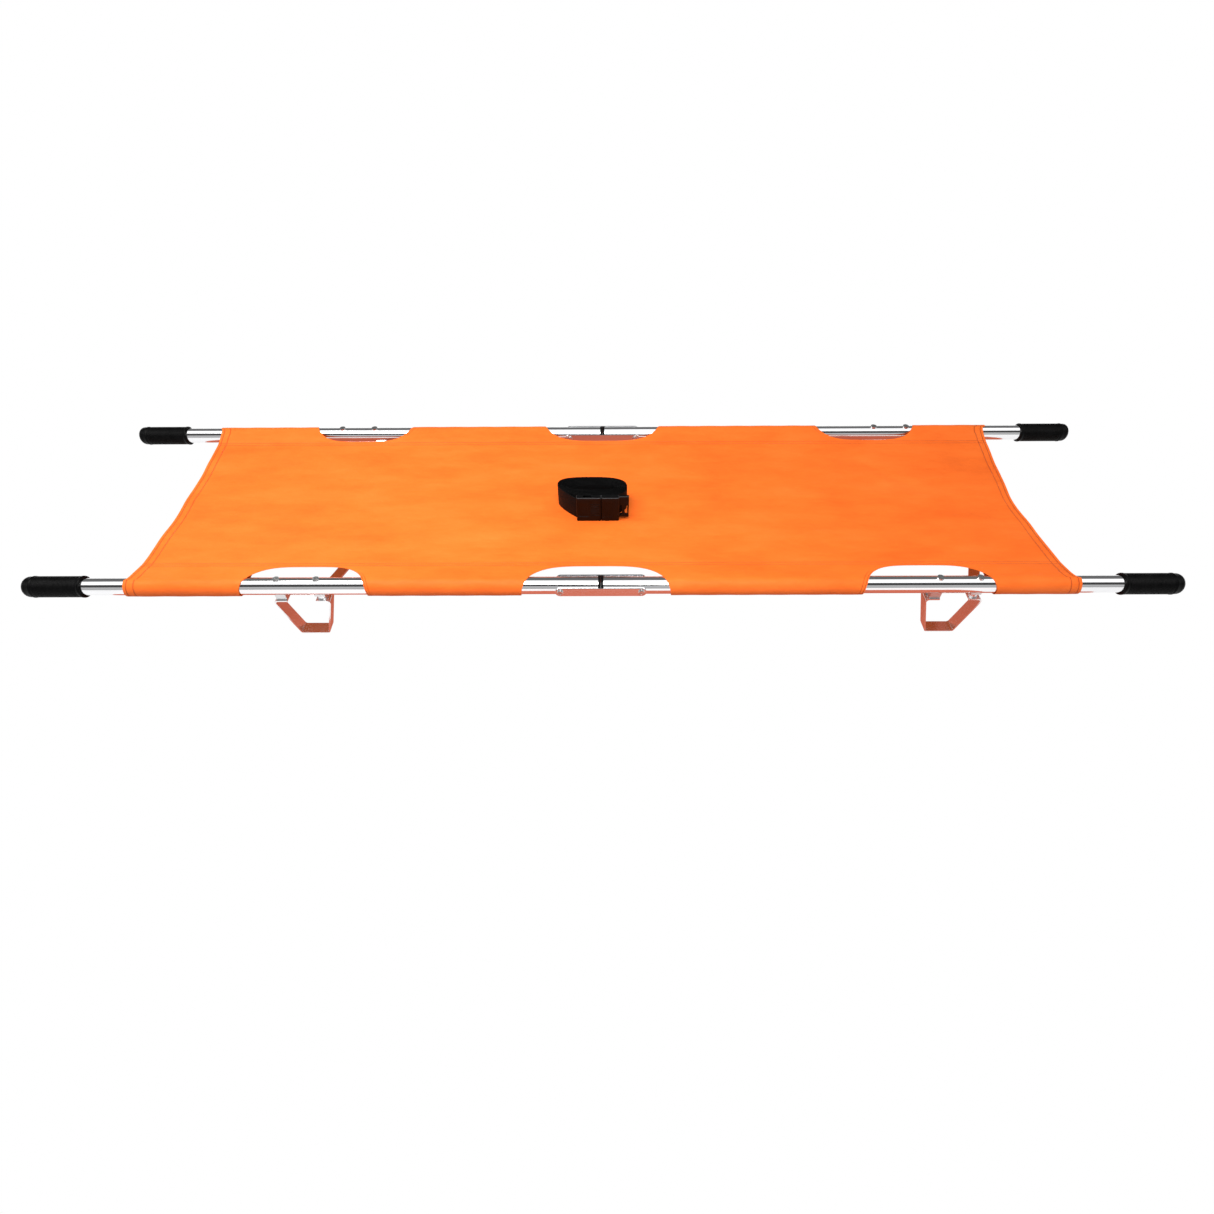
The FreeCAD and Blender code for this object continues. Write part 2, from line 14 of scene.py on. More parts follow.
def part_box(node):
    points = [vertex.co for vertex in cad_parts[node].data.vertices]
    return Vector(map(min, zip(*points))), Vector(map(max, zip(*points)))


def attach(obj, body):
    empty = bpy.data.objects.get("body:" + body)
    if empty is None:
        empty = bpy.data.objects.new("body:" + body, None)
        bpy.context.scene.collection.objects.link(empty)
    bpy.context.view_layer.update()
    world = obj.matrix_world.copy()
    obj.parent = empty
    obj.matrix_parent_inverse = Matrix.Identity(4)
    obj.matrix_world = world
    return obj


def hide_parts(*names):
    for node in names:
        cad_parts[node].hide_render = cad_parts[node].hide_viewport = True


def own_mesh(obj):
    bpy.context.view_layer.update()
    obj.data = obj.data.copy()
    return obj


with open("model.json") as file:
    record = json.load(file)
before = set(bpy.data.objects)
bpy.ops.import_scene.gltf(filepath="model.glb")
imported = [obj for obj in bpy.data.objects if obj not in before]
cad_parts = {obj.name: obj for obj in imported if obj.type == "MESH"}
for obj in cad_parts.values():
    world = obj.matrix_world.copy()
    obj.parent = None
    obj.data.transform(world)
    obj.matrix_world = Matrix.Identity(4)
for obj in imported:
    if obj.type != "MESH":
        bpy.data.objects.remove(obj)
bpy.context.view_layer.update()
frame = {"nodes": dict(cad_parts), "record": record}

SIDES = {"front": -1, "rear": 1}
HALVES = {"left": -1, "right": 1}

# ------------------------------------------------------------ sizes from the frame
tube_lo, tube_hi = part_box("front_left_tube")
plate_lo, plate_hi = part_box("front_outer_plate")
sleeve_lo, sleeve_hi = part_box("front_left_end_sleeve")

POLE_Y = -(tube_lo[1] + tube_hi[1]) / 2
POLE_Z = (tube_lo[2] + tube_hi[2]) / 2
TUBE_R = (tube_hi[2] - tube_lo[2]) / 2
SLEEVE_R = (sleeve_hi[2] - sleeve_lo[2]) / 2
PIVOT_X = ((plate_hi[0] - plate_lo[0]) - (plate_hi[2] - plate_lo[2])) / 2
BED_END = -sleeve_lo[0]

# ------------------------------------------------------------ cloth sizes
CLOTH = 0.0009              # thickness of the coated cloth
SEAM_IN = 0.050             # the tunnel's seam, inward from the pole's axis
SEAM_HEIGHT = 0.0085        # height of that seam above the axis
MIDDLE_HEIGHT = 0.0012      # height of the bed's middle above the axis
BED_CURVE = 2.2             # how quickly the bed flattens inward of the seam
NOSE_IN = 0.022             # where the tunnel, which stays round its pole, meets the bed
SLACK = 0.0014              # how far the tunnel stands off the pole at its loosest
SLACK_ANGLE, SLACK_SPREAD = math.radians(205), math.radians(35)
BITE_DEPTH = 0.071          # of a cut-out, along the cloth from the pole's outer side
BITE_MIDDLE = 0.020         # how far under the pole a cut-out is at its widest
BITE_FLARE = 0.0065         # how much wider it is there than at the top of the pole
FLAP_LEAST = 0.0015         # of the tunnel's lower cloth, left along the seam at a cut-out
END_DIP = {"left": (0.008, 0.0), "right": (0.016, 0.010)}  # how far the end is drawn in, and its middle
END_POWER, END_MIDDLE = 0.25, 0.09  # how quickly it draws in from the pole, and how wide the middle is
END_ZONE = 0.085            # how far from the end its curve is felt
HEM = 0.025                 # width of the hem folded under at each end
HEM_EDGE = 0.001            # half the distance over which it thickens the cloth
END_RIPPLE, RIPPLES = 0.0012, 48  # of the end: how deep, and radians of it per metre
STRAP_REST = (0.13, 0.09)   # half the length and depth of the flat patch round the strap
SEAM_LINES = (SEAM_IN - 0.004, SEAM_IN + 0.003)  # the double stitching along each tunnel
HEM_LINES = (0.006, 0.020)  # and along each hem, in from the end
SEWN_WIDE = 0.0017          # how far a line of stitching draws in the cloth to each side

# middle and half width of each cut-out, at the pole's outer side
tunnel_ends = {half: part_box(f"front_{half}_end_sleeve") for half in HALVES}
tunnel_inner = {half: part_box(f"front_{half}_inner_sleeve") for half in HALVES}
LEFT_BITE = (tunnel_ends["left"][1][0], tunnel_inner["left"][0][0])
HINGE_BITE = (tunnel_inner["left"][1][0], tunnel_inner["right"][0][0])
RIGHT_BITE = (tunnel_inner["right"][1][0], tunnel_ends["right"][0][0])
# the front ones were cut a little wide and off their places: how far each edge is off
OFF_PLACE = {"front": ((-0.006, 0.0), (-0.010, -0.008), (0.0, 0.006)), "rear": ((0.0, 0.0),) * 3}
BITES = {
    side: [((a + da + b + db) / 2, (b + db - a - da) / 2)
           for (a, b), (da, db) in zip((LEFT_BITE, HINGE_BITE, RIGHT_BITE), OFF_PLACE[side])]
    for side in SIDES
}


# ------------------------------------------------------------ mesh helpers
def mesh_object(name, verts, faces):
    mesh = bpy.data.meshes.new(name)
    mesh.from_pydata([tuple(v) for v in verts], [], [tuple(f) for f in faces])
    mesh.polygons.foreach_set("use_smooth", [True] * len(mesh.polygons))
    mesh.update()
    obj = bpy.data.objects.new(name, mesh)
    bpy.context.scene.collection.objects.link(obj)
    return obj


def settle(obj):
    """Apply the object's modifiers to its mesh."""
    graph = bpy.context.evaluated_depsgraph_get()
    graph.update()
    mesh = bpy.data.meshes.new_from_object(obj.evaluated_get(graph))
    obj.modifiers.clear()
    obj.data = mesh


def paint(obj, material):
    obj.data.materials.clear()
    obj.data.materials.append(material)
    return obj


def smoothstep(x, low, high):
    t = np.clip((x - low) / (high - low), 0, 1)
    return t * t * (3 - 2 * t)


class Shells:
    """Closed thin shells gathered into one mesh, with the shading normals of their surface."""

    def __init__(self):
        self.verts, self.faces, self.normals, self.places = [], [], [], []

    def add(self, outer, normal, thick, cloth):
        """A shell between a grid of points and the same grid let in by the thickness; cloth
        gives each point's place on the uncut cloth."""
        thick = np.broadcast_to(thick, outer.shape[:2])[..., None]
        facing = np.cross(outer[0, 1] - outer[0, 0], outer[1, 0] - outer[0, 0]) @ normal[0, 0]
        if facing < 0:
            outer, normal, thick, cloth = outer[::-1], normal[::-1], thick[::-1], cloth[::-1]
        self.places += list(cloth.reshape(-1, 2)) * 2
        rows, cols = outer.shape[:2]
        inner = outer - normal * thick
        start = len(self.verts)
        self.verts += list(outer.reshape(-1, 3)) + list(inner.reshape(-1, 3))
        count = rows * cols

        def at(r, c, layer):
            return start + layer * count + r * cols + c

        flat = normal.reshape(-1, 3)
        for r in range(rows - 1):
            for c in range(cols - 1):
                quad = [(r, c), (r, c + 1), (r + 1, c + 1), (r + 1, c)]
                self.faces.append([at(*q, 0) for q in quad])
                self.normals += [flat[q[0] * cols + q[1]] for q in quad]
                self.faces.append([at(*q, 1) for q in reversed(quad)])
                self.normals += [-flat[q[0] * cols + q[1]] for q in reversed(quad)]
        rim = [(0, c) for c in range(cols)] + [(r, cols - 1) for r in range(1, rows)]
        rim += [(rows - 1, c) for c in range(cols - 2, -1, -1)] + [(r, 0) for r in range(rows - 2, 0, -1)]
        for a, b in zip(rim, rim[1:] + rim[:1]):
            corners = [at(*a, 1), at(*b, 1), at(*b, 0), at(*a, 0)]
            p = [self.verts[i] for i in corners]
            out = np.cross(p[1] - p[0], p[3] - p[0])
            length = np.linalg.norm(out)
            self.faces.append(corners)
            self.normals += [out / length if length > 0 else flat[0]] * 4

    def build(self, name):
        obj = mesh_object(name, self.verts, self.faces)
        layer = obj.data.uv_layers.new(name="cloth")
        corners = [i for face in self.faces for i in face]
        layer.data.foreach_set("uv", np.array([self.places[i] for i in corners], float).ravel())
        obj.data.normals_split_custom_set([tuple(n) for n in self.normals])
        return obj


def grid_normals(points):
    """Unit normals of a grid whose rows run inward and whose columns run along +X."""
    along_rows = np.gradient(points, axis=0)
    along_cols = np.gradient(points, axis=1)
    normal = np.cross(along_cols, along_rows)
    return normal / np.maximum(np.linalg.norm(normal, axis=2, keepdims=True), 1e-12)


# ------------------------------------------------------------ the cloth's profile
# A point of the cloth is given by its distance u along the cloth from the pole's outer side,
# up over the pole and inward; a negative u goes down and under the pole to the same seam.
SEAM_REACH = math.hypot(SEAM_IN, SEAM_HEIGHT)
SEAM_ANGLE = math.atan2(SEAM_HEIGHT, SEAM_IN)
TANGENT = math.acos(SLEEVE_R / SEAM_REACH)
LEAVES_TOP = SEAM_ANGLE + TANGENT                  # angles on the pole, 0 pointing inward
LEAVES_UNDER = 2 * math.pi + SEAM_ANGLE - TANGENT
SLOPE = math.sqrt(SEAM_REACH ** 2 - SLEEVE_R ** 2)
ARC_TOP = SLEEVE_R * (math.pi - LEAVES_TOP)
ARC_UNDER = SLEEVE_R * (LEAVES_UNDER - math.pi)


def on_pole(angle):
    """In from the pole's axis, and up from it, at an angle on the tunnel."""
    radius = SLEEVE_R + SLACK * np.exp(-((angle - SLACK_ANGLE) / SLACK_SPREAD) ** 2)
    return radius * np.cos(angle), radius * np.sin(angle)


def tunnel_point(u):
    """Inward and upward place of a point of the tunnel, for an array of u up to the seam."""
    u = np.asarray(u, float)
    top = u >= 0
    leaves = np.where(top, LEAVES_TOP, LEAVES_UNDER)
    arc = np.where(top, ARC_TOP, ARC_UNDER)
    angle = math.pi - np.sign(u) * np.minimum(np.abs(u), arc) / SLEEVE_R
    inward, up = on_pole(angle)
    share = np.clip((np.abs(u) - arc) / SLOPE, 0, 1)
    start_in, start_up = SLEEVE_R * np.cos(leaves), SLEEVE_R * np.sin(leaves)
    sloping = np.abs(u) > arc
    inward = np.where(sloping, start_in + share * (SEAM_IN - start_in), inward)
    up = np.where(sloping, start_up + share * (SEAM_HEIGHT - start_up), up)
    return inward, up


def u_at(inward, top=True):
    """The u of the sloping stretch at a distance inward of the axis."""
    leaves, arc = (LEAVES_TOP, ARC_TOP) if top else (LEAVES_UNDER, ARC_UNDER)
    start = SLEEVE_R * math.cos(leaves)
    return (arc + SLOPE * (inward - start) / (SEAM_IN - start)) * (1 if top else -1)


def ridge(x, y, start, end, width, height):
    """A soft crease: a rounded ridge, or a furrow, that fades at both ends."""
    (x0, y0), (x1, y1) = start, end
    length = math.hypot(x1 - x0, y1 - y0)
    ux, uy = (x1 - x0) / length, (y1 - y0) / length
    along = ((x - x0) * ux + (y - y0) * uy) / length
    across = -(x - x0) * uy + (y - y0) * ux
    fade = np.clip(along, 0, 1)
    return height * np.exp(-(across / width) ** 2) * np.sin(math.pi * fade) ** 2


CREASES = [
    # start, end, width, height
    ((0.50, 0.21), (0.74, -0.02), 0.014, -0.0022),
    ((0.44, 0.20), (0.62, 0.03), 0.012, 0.0012),
    ((0.60, 0.19), (0.80, 0.06), 0.010, -0.0012),
    ((-0.80, 0.16), (-0.50, 0.02), 0.013, -0.0010),
    ((-0.62, -0.18), (-0.30, -0.05), 0.014, 0.0010),
    ((0.14, -0.19), (0.30, -0.06), 0.012, -0.0011),
    ((-0.14, -0.19), (-0.28, -0.07), 0.012, -0.0010),
    ((0.14, 0.20), (0.30, 0.09), 0.012, -0.0010),
    ((0.74, -0.19), (0.84, -0.04), 0.012, -0.0012),
    ((0.49, -0.19), (0.40, -0.08), 0.011, -0.0009),
    ((-0.44, -0.19), (-0.36, -0.08), 0.011, -0.0009),
    ((-0.68, -0.19), (-0.80, -0.06), 0.012, -0.0011),
    ((-0.46, 0.20), (-0.36, 0.08), 0.012, -0.0010),
    # creases left by the fold it is stored in, along the bed
    ((-0.88, 0.105), (0.86, 0.100), 0.006, 0.0007),
    ((-0.88, 0.000), (-0.10, 0.004), 0.006, -0.0006),
    ((0.08, 0.003), (0.86, 0.000), 0.006, -0.0006),
    ((-0.88, -0.105), (0.86, -0.110), 0.006, 0.0007),
    ((-0.84, -0.150), (0.20, -0.160), 0.009, -0.0006),
]
WAVES = [
    # waves along X and Y per metre, phase, height
    (2.3, 5.1, 0.4, 0.00050), (4.9, -3.2, 1.9, 0.00035), (7.7, 6.3, 4.1, 0.00022),
    (12.5, 2.1, 2.7, 0.00014), (3.1, 17.0, 5.3, 0.00016), (-9.3, 11.7, 0.9, 0.00012),
]


def unevenness(x, y):
    """Creases and waves of the bed; nothing at the seams, where the tunnels hold it."""
    z = sum(ridge(x, y, *crease) for crease in CREASES)
    for along, across, phase, height in WAVES:
        z = z + height * np.sin(2 * math.pi * (along * x + across * y) + phase)
    free = smoothstep(POLE_Y - np.abs(y), SEAM_IN, SEAM_IN + 0.05)
    strap = np.hypot((x - STRAP_SPOT[0]) / STRAP_REST[0], (y - STRAP_SPOT[1]) / STRAP_REST[1])
    return z * free * smoothstep(strap, 0.7, 1.2)


strap_lo, strap_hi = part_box("strap_roll")
STRAP_SPOT = ((strap_lo[0] + strap_hi[0]) / 2, (strap_lo[1] + strap_hi[1]) / 2)


def bed_height(inward):
    """Height above the axis from the seam in to the bed's middle."""
    left = np.clip((POLE_Y - inward) / (POLE_Y - SEAM_IN), 0, 1)
    return MIDDLE_HEIGHT + (SEAM_HEIGHT - MIDDLE_HEIGHT) * left ** BED_CURVE


def end_shift(x, y):
    """How far the curved end draws the cloth in towards the middle, along X."""
    across = np.minimum(np.abs(y) / POLE_Y, 1)
    shift = 0
    for half, s in HALVES.items():
        dip, tuck = END_DIP[half]
        near = smoothstep(s * x, BED_END - END_ZONE, BED_END)
        drawn = dip * (1 - across ** 2) ** END_POWER + tuck * np.exp(-(y / END_MIDDLE) ** 2)
        drawn = drawn + END_RIPPLE * np.sin(RIPPLES * y + 2 * s) * (1 - across ** 4)
        shift = shift - s * near * drawn
    return shift


def bite_edge(x, side, top=True):
    """How far along the cloth it starts at a given X: zero, or the edge of a cut-out."""
    edge = np.zeros_like(x)
    middle_u = -BITE_MIDDLE if top else BITE_MIDDLE
    for middle, half_width in BITES[side]:
        share = np.clip(np.abs(x - middle) / (half_width + BITE_FLARE), 0, 1)
        reach = middle_u + (BITE_DEPTH + BITE_MIDDLE) * np.sqrt(1 - share ** 4)
        edge = np.where(share < 1, np.maximum(edge, reach), edge)
    return edge


def bite_half_width(half_width, u):
    """Half the width of a cut-out at a distance u along the cloth."""
    share = np.clip(np.abs(u + BITE_MIDDLE) / (BITE_DEPTH + BITE_MIDDLE), 0, 1)
    return (half_width + BITE_FLARE) * (1 - share ** 2) ** 0.25


def to_world(side, x, inward, up):
    return np.stack([x, SIDES[side] * (POLE_Y - inward), POLE_Z + up], axis=-1)


# ------------------------------------------------------------ finishes
class Nodes:
    """A material's node tree, with short calls for its nodes and links."""

    def __init__(self, name):
        self.material = bpy.data.materials.new(name)
        self.material.use_nodes = True
        self.tree = self.material.node_tree
        self.shader = self.tree.nodes["Principled BSDF"]
        self.place = self.add("ShaderNodeTexCoord").outputs["Object"]

    def add(self, kind, **settings):
        made = self.tree.nodes.new(kind)
        for key, value in settings.items():
            if hasattr(made, key):
                setattr(made, key, value)
            else:
                made.inputs[key.replace("_", " ")].default_value = value
        return made

    def link(self, source, target):
        self.tree.links.new(source, target)

    def set(self, **values):
        for key, value in values.items():
            self.shader.inputs[key.replace("_", " ")].default_value = value

    def stretched(self, scale, turn=(0, 0, 0)):
        mapping = self.add("ShaderNodeMapping")
        mapping.inputs["Scale"].default_value = scale
        mapping.inputs["Rotation"].default_value = turn
        self.link(self.place, mapping.inputs["Vector"])
        return mapping.outputs["Vector"]

    def noise(self, vector, scale, detail=3.0, rough=0.5):
        made = self.add("ShaderNodeTexNoise", Scale=scale, Detail=detail, Roughness=rough)
        self.link(vector, made.inputs["Vector"])
        return made.outputs["Fac"]

    def wave(self, vector, scale, direction, distortion=0.0):
        made = self.add("ShaderNodeTexWave", bands_direction=direction, Scale=scale, Distortion=distortion)
        self.link(vector, made.inputs["Vector"])
        return made.outputs["Fac"]

    def math(self, operation, a, b):
        made = self.add("ShaderNodeMath", operation=operation)
        for socket, value in zip(made.inputs, (a, b)):
            if isinstance(value, (int, float)):
                socket.default_value = value
            else:
                self.link(value, socket)
        return made.outputs[0]

    def ramp(self, factor, stops):
        made = self.add("ShaderNodeValToRGB")
        elements = made.color_ramp.elements
        while len(elements) < len(stops):
            elements.new(0.5)
        for element, (place, colour) in zip(elements, stops):
            element.position = place
            element.color = (*colour, 1)
        self.link(factor, made.inputs["Fac"])
        return made.outputs["Color"]

    def span(self, factor, low, high):
        made = self.add("ShaderNodeMapRange")
        made.inputs["To Min"].default_value = low
        made.inputs["To Max"].default_value = high
        self.link(factor, made.inputs["Value"])
        return made.outputs["Result"]

    def bump(self, height, strength, distance, base=None):
        made = self.add("ShaderNodeBump", Strength=strength, Distance=distance)
        self.link(height, made.inputs["Height"])
        if base is not None:
            self.link(base, made.inputs["Normal"])
        return made.outputs["Normal"]

    def colour(self, output):
        self.link(output, self.shader.inputs["Base Color"])

    def roughness(self, output):
        self.link(output, self.shader.inputs["Roughness"])

    def normal(self, output):
        self.link(output, self.shader.inputs["Normal"])


def sewn_lines(n):
    """One along each line of stitching, where the thread pulls the cloth down, else zero."""
    place = n.add("ShaderNodeUVMap", uv_map="cloth").outputs["UV"]
    parts = n.add("ShaderNodeSeparateXYZ")
    n.link(place, parts.inputs[0])
    total = None
    for axis, lines, pull in (("X", HEM_LINES, 1.0), ("Y", SEAM_LINES, 0.4)):
        for line in lines:
            off = n.math("ABSOLUTE", n.math("SUBTRACT", parts.outputs[axis], line), 0)
            near = n.math("MAXIMUM", n.math("SUBTRACT", 1, n.math("DIVIDE", off, SEWN_WIDE)), 0)
            near = n.math("MULTIPLY", near, pull)
            total = near if total is None else n.math("MAXIMUM", total, near)
    return total


def canvas_material():
    """Coated orange cloth: plain weave, soft mottling, creases, and lines drawn in by stitching, with painted
    shade along them.
    """
    n = Nodes("orange_canvas")
    blotch = n.noise(n.stretched((0.6, 1.6, 1.0)), 9.0, 5.0, 0.65)
    cloth = n.ramp(blotch, [
        (0.27, (0.85, 0.130, 0.013)), (0.5, (0.945, 0.162, 0.018)), (0.72, (0.99, 0.190, 0.026)),
    ])
    sewn = sewn_lines(n)
    # painted shade: the cloth's colour is darkened along each line of stitching, where the thread draws it
    # down
    painted_seam_shade = n.add("ShaderNodeMix", data_type="RGBA", blend_type="MULTIPLY")
    n.link(n.math("MULTIPLY", sewn, 0.8), painted_seam_shade.inputs["Factor"])
    n.link(cloth, painted_seam_shade.inputs[6])
    painted_seam_shade.inputs[7].default_value = (0.42, 0.20, 0.16, 1)
    n.colour(painted_seam_shade.outputs[2])
    n.roughness(n.span(n.noise(n.place, 26.0, 4.0), 0.46, 0.62))
    warp = n.wave(n.place, 330.0, "X", 0.3)
    weft = n.wave(n.place, 330.0, "Y", 0.3)
    weave = n.bump(n.math("MULTIPLY", warp, weft), 0.16, 0.0004)
    drawn = n.bump(n.math("SUBTRACT", 1, sewn), 0.8, 0.0008, weave)
    crumple = n.noise(n.stretched((5.0, 24.0, 10.0)), 1.0, 5.0, 0.62)
    patches = n.noise(n.stretched((14.0, 19.0, 14.0)), 1.0, 3.0, 0.55)
    n.normal(n.bump(patches, 0.28, 0.010, n.bump(crumple, 0.42, 0.006, drawn)))
    n.set(Specular_IOR_Level=0.15, Sheen_Weight=0.06, Sheen_Roughness=0.45)
    n.shader.inputs["Sheen Tint"].default_value = (1.0, 0.62, 0.36, 1)
    return n.material


def thread_material():
    n = Nodes("orange_thread")
    twist = n.wave(n.stretched((1, 1, 1), (0, 0, 0.7)), 700.0, "X")
    n.colour(n.ramp(twist, [(0.2, (0.50, 0.075, 0.010)), (0.8, (0.72, 0.13, 0.02))]))
    n.normal(n.bump(twist, 0.5, 0.0003))
    n.set(Roughness=0.7, Sheen_Weight=0.2)
    return n.material


def drawn_aluminium(name, colour, rough, line_scale, line_strength, dent=0.0):
    """Bright aluminium with fine lines along X, faint smears and a few handling marks."""
    n = Nodes(name)
    lines = n.noise(n.stretched((0.6, line_scale, line_scale)), 1.0, 4.0, 0.6)
    smear = n.noise(n.stretched((3.0, 9.0, 9.0)), 2.2, 4.0, 0.6)
    n.colour(n.ramp(smear, [
        (0.3, tuple(0.93 * c for c in colour)), (0.65, colour),
    ]))
    n.roughness(n.span(n.math("ADD", n.math("MULTIPLY", lines, 0.55), n.math("MULTIPLY", smear, 0.45)),
                       rough * 0.6, rough * 1.5))
    fine = n.bump(lines, line_strength, 0.0002)
    if dent:
        fine = n.bump(n.noise(n.place, 55.0, 3.0), dent, 0.0010, fine)
    n.normal(fine)
    n.set(Metallic=1.0)
    return n.material


def plated_steel():
    n = Nodes("plated_steel")
    cloud = n.noise(n.place, 240.0, 4.0)
    n.colour(n.ramp(cloud, [(0.3, (0.60, 0.60, 0.61)), (0.7, (0.80, 0.80, 0.79))]))
    n.roughness(n.span(cloud, 0.16, 0.34))
    n.normal(n.bump(n.noise(n.place, 900.0, 2.0), 0.12, 0.0002))
    n.set(Metallic=1.0)
    return n.material


def black_rubber(name, shine):
    n = Nodes(name)
    grain = n.noise(n.place, 900.0, 3.0)
    dust = n.noise(n.place, 60.0, 4.0, 0.6)
    n.colour(n.ramp(dust, [(0.35, (0.0015, 0.0015, 0.0016)), (0.75, (0.0045, 0.0045, 0.0048))]))
    n.roughness(n.span(dust, shine, shine + 0.18))
    n.normal(n.bump(grain, 0.22, 0.0003))
    n.set(Specular_IOR_Level=0.06)
    return n.material


def webbing_material():
    """Close-woven webbing standing on edge: ribs run up it, with a woven selvedge."""
    n = Nodes("black_webbing")
    ribs = n.wave(n.place, 130.0, "DIAGONAL", 0.4)
    rows = n.wave(n.place, 200.0, "Z", 0.2)
    weave = n.math("MULTIPLY", ribs, rows)
    n.colour(n.ramp(weave, [(0.1, (0.0008, 0.0008, 0.0009)), (0.9, (0.0040, 0.0040, 0.0044))]))
    n.normal(n.bump(weave, 0.6, 0.0008))
    n.set(Roughness=0.55, Sheen_Weight=0.015, Sheen_Roughness=0.4, Specular_IOR_Level=0.08)
    return n.material


def buckle_material():
    n = Nodes("buckle_plastic")
    grain = n.noise(n.place, 700.0, 3.0)
    black = n.ramp(n.noise(n.place, 80.0), [(0.3, (0.0010, 0.0010, 0.0011)), (0.7, (0.0025, 0.0025, 0.0027))])
    shape = n.add("ShaderNodeNewGeometry")
    facing = n.add("ShaderNodeSeparateXYZ")
    n.link(shape.outputs["Normal"], facing.inputs[0])
    # painted highlight: the rounded upper edges, whose faces lean about half way, are painted paler in
    # patches, standing in for the light that glints along them
    lean = n.math("ABSOLUTE", n.math("SUBTRACT", facing.outputs["Z"], 0.66), 0)
    glint_edges = n.math("MAXIMUM", n.math("SUBTRACT", 1, n.math("DIVIDE", lean, 0.20)), 0)
    patchy_glint = n.math("MULTIPLY", glint_edges, n.span(n.noise(n.place, 220.0), 0.35, 1.0))
    # painted highlight: the pale grey is mixed over the black on those edges
    painted_glint = n.add("ShaderNodeMix", data_type="RGBA")
    n.link(patchy_glint, painted_glint.inputs["Factor"])
    n.link(black, painted_glint.inputs[6])
    painted_glint.inputs[7].default_value = (0.06, 0.06, 0.065, 1)
    n.colour(painted_glint.outputs[2])
    n.set(Specular_IOR_Level=0.16)
    n.roughness(n.span(n.noise(n.place, 120.0), 0.26, 0.42))
    n.normal(n.bump(grain, 0.15, 0.0002))
    return n.material


CANVAS = canvas_material()
THREAD = thread_material()
RUBBER = black_rubber("grip_rubber", 0.30)
WEBBING = webbing_material()
BUCKLE = buckle_material()
FINISHES = {
    "polished_aluminium": drawn_aluminium("polished_aluminium", (0.90, 0.90, 0.915), 0.10, 900.0, 0.10),
    "strip_aluminium": drawn_aluminium("strip_aluminium", (0.86, 0.86, 0.87), 0.20, 420.0, 0.20, 0.10),
    "packing_aluminium": drawn_aluminium("packing_aluminium", (0.70, 0.70, 0.71), 0.34, 300.0, 0.25, 0.15),
    "plated_steel": plated_steel(),
    "buffer_rubber": black_rubber("buffer_rubber", 0.45),
    "grip_rubber": RUBBER,
    "orange_canvas": CANVAS,
    "black_webbing": WEBBING,
    "buckle_plastic": BUCKLE,
}
for part in frame["record"]["subparts"]:
    cad = frame["nodes"][part["node"]]
    finish = FINISHES[part["material_slot"]]
    if cad.material_slots:
        for material_slot in cad.material_slots:
            material_slot.material = finish
    else:
        cad.data.materials.append(finish)


# ------------------------------------------------------------ the bed
COLUMN_STEP = 0.008
SLOPE_ROWS, BED_ROWS = 6, 22
U_SEAM = ARC_TOP + SLOPE
U_NOSE = {True: abs(u_at(NOSE_IN)), False: abs(u_at(NOSE_IN, top=False))}
EDGE_Y = POLE_Y - NOSE_IN


def bed_columns():
    """Places along X for the bed's grid, with the pivots and the cut-outs' corners on it."""
    marks = {-BED_END, -PIVOT_X, PIVOT_X, BED_END}
    for side in SIDES:
        for middle, half_width in BITES[side]:
            for u in (U_NOSE[True], -U_NOSE[False]):
                reach = bite_half_width(half_width, u)
                marks |= {round(middle - reach, 6), round(middle + reach, 6)}
    marks = sorted(marks)
    places = []
    for a, b in zip(marks, marks[1:]):
        count = max(1, round((b - a) / COLUMN_STEP))
        places += list(np.linspace(a, b, count, endpoint=False))
    return np.array(places + [marks[-1]])


def cloth_place(columns, inward):
    """Distance from the nearer end and inward from the pole: where the seams are sewn."""
    return np.stack([BED_END - np.abs(columns), np.broadcast_to(inward, columns.shape)], axis=-1)


def bed_grid(columns):
    """The bed's upper face: rows from the front nose to the rear one."""
    rows, cloth = [], []
    for side in SIDES:
        start = np.maximum(U_NOSE[True], bite_edge(columns, side))
        half = [tunnel_point(start + share * (U_SEAM - start))
                for share in np.linspace(0, 1, SLOPE_ROWS, endpoint=False)]
        for inward in SEAM_IN + (POLE_Y - SEAM_IN) * np.linspace(0, 1, BED_ROWS):
            inward = np.full_like(columns, inward)
            half.append((inward, bed_height(inward)))
        for inward, up in half if side == "front" else half[-2::-1]:
            y = SIDES[side] * (POLE_Y - inward)
            x = columns + end_shift(columns, y)
            rows.append(to_world(side, x, inward, up + unevenness(x, y)))
            cloth.append(cloth_place(columns, inward))
    return np.array(rows), np.array(cloth)


def flap_grid(side, columns):
    """The lower face of the tunnel's sloping stretch, from the nose up to the seam."""
    stop = ARC_UNDER + SLOPE
    start = np.clip(bite_edge(columns, side, top=False), U_NOSE[False], stop - FLAP_LEAST)
    rows, cloth = [], []
    for share in np.linspace(0, 1, SLOPE_ROWS):
        inward, up = tunnel_point(-(start + share * (stop - start)))
        x = columns + end_shift(columns, POLE_Y - inward)
        rows.append(to_world(side, x, inward, up - CLOTH * 1.15 * share))
        cloth.append(cloth_place(columns, inward))
    return np.array(rows), np.array(cloth)


columns = bed_columns()
top_face, top_cloth = bed_grid(columns)
top_normals = grid_normals(top_face)
hem_share = smoothstep(np.abs(columns), BED_END - HEM - HEM_EDGE, BED_END - HEM + HEM_EDGE)
top_thick = np.broadcast_to(CLOTH * (1 + hem_share), top_face.shape[:2])
flaps = {}
for side in SIDES:
    face, cloth = flap_grid(side, columns)
    flaps[side] = (face, grid_normals(face) * (1 if side == "rear" else -1), cloth)

